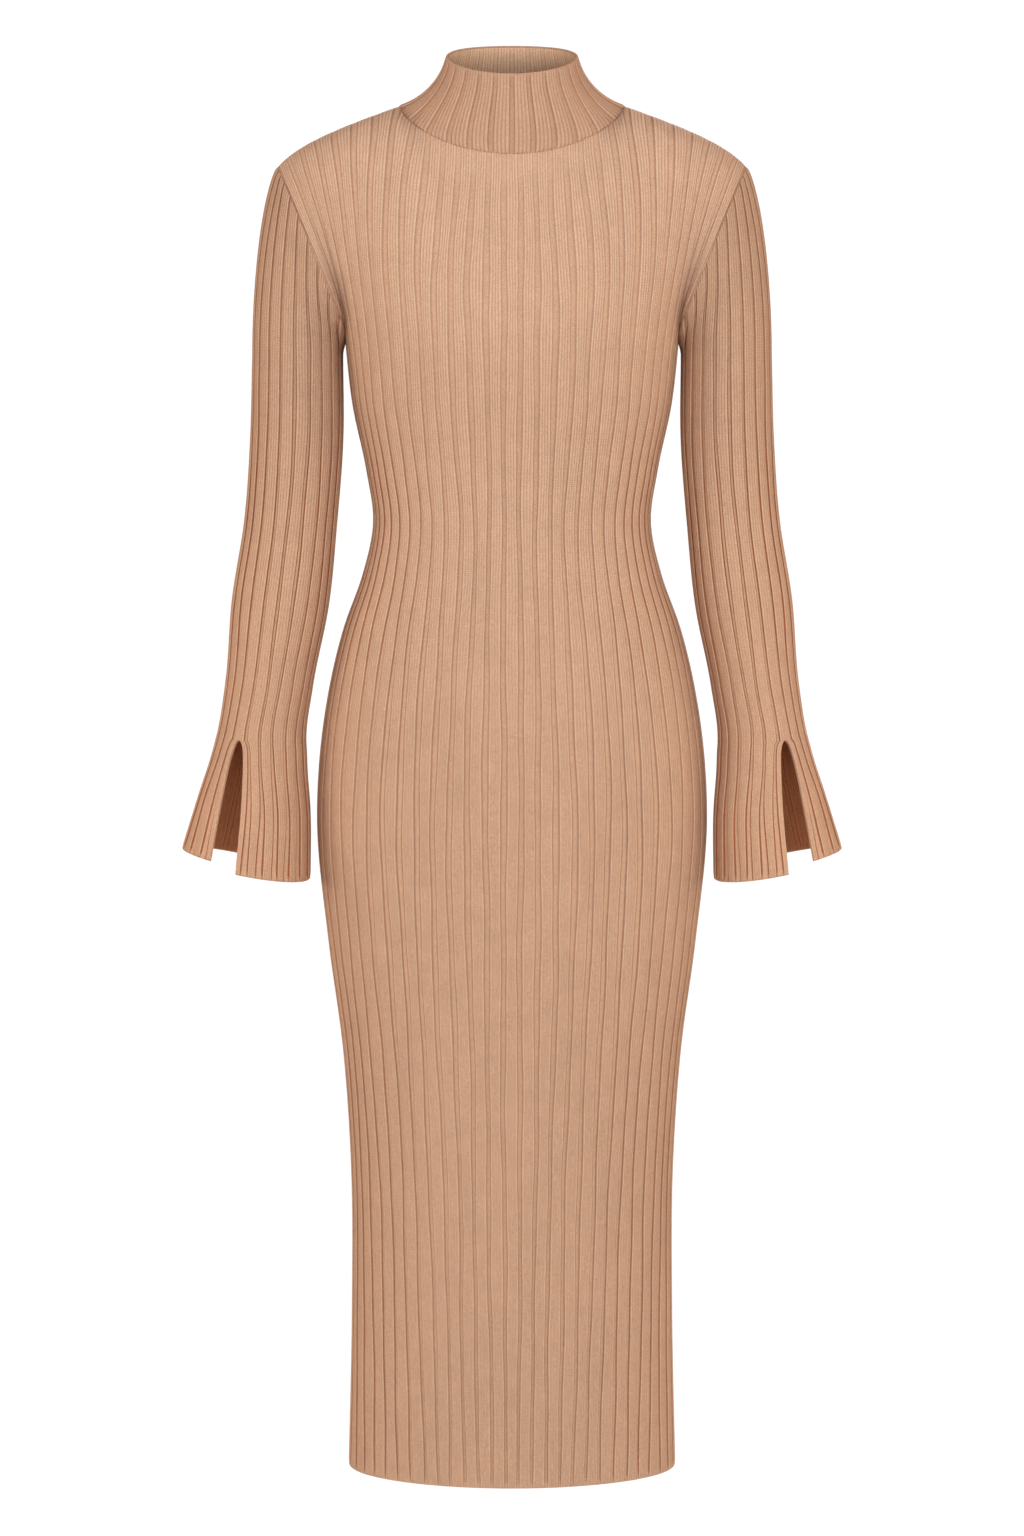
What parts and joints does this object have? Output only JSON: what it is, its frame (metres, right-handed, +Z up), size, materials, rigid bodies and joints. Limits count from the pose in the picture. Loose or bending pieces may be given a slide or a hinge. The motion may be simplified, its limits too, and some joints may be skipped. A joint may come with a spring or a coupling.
{
  "type": "sweater dress",
  "caption": "Long-sleeved ribbed knit midi dress with a standing collar, shaped waist and slit bell cuffs, filled out as worn with nobody in it.",
  "frame": {"origin": "on the centre line, level with the points where the collar meets the shoulder seams, where a wearer's neck and shoulders hold the dress up", "axes": "+Z up, towards the collar; +X the wearer's left; -Y the dress's front"},
  "size_m": [0.5476, 0.2358, 1.1814],
  "materials": {
    "front_knit": "matt wide-rib knit, camel",
    "back_knit": "matt wide-rib knit, camel",
    "sleeve_left_knit": "matt wide-rib knit, camel",
    "sleeve_right_knit": "matt wide-rib knit, camel",
    "collar_knit": "matt wide-rib knit, camel"
  },
  "bodies": {
    "root": {"front": "front_knit", "back": "back_knit", "sleeve_left": "sleeve_left_knit", "sleeve_right": "sleeve_right_knit", "collar": "collar_knit"}
  },
  "joints": []
}
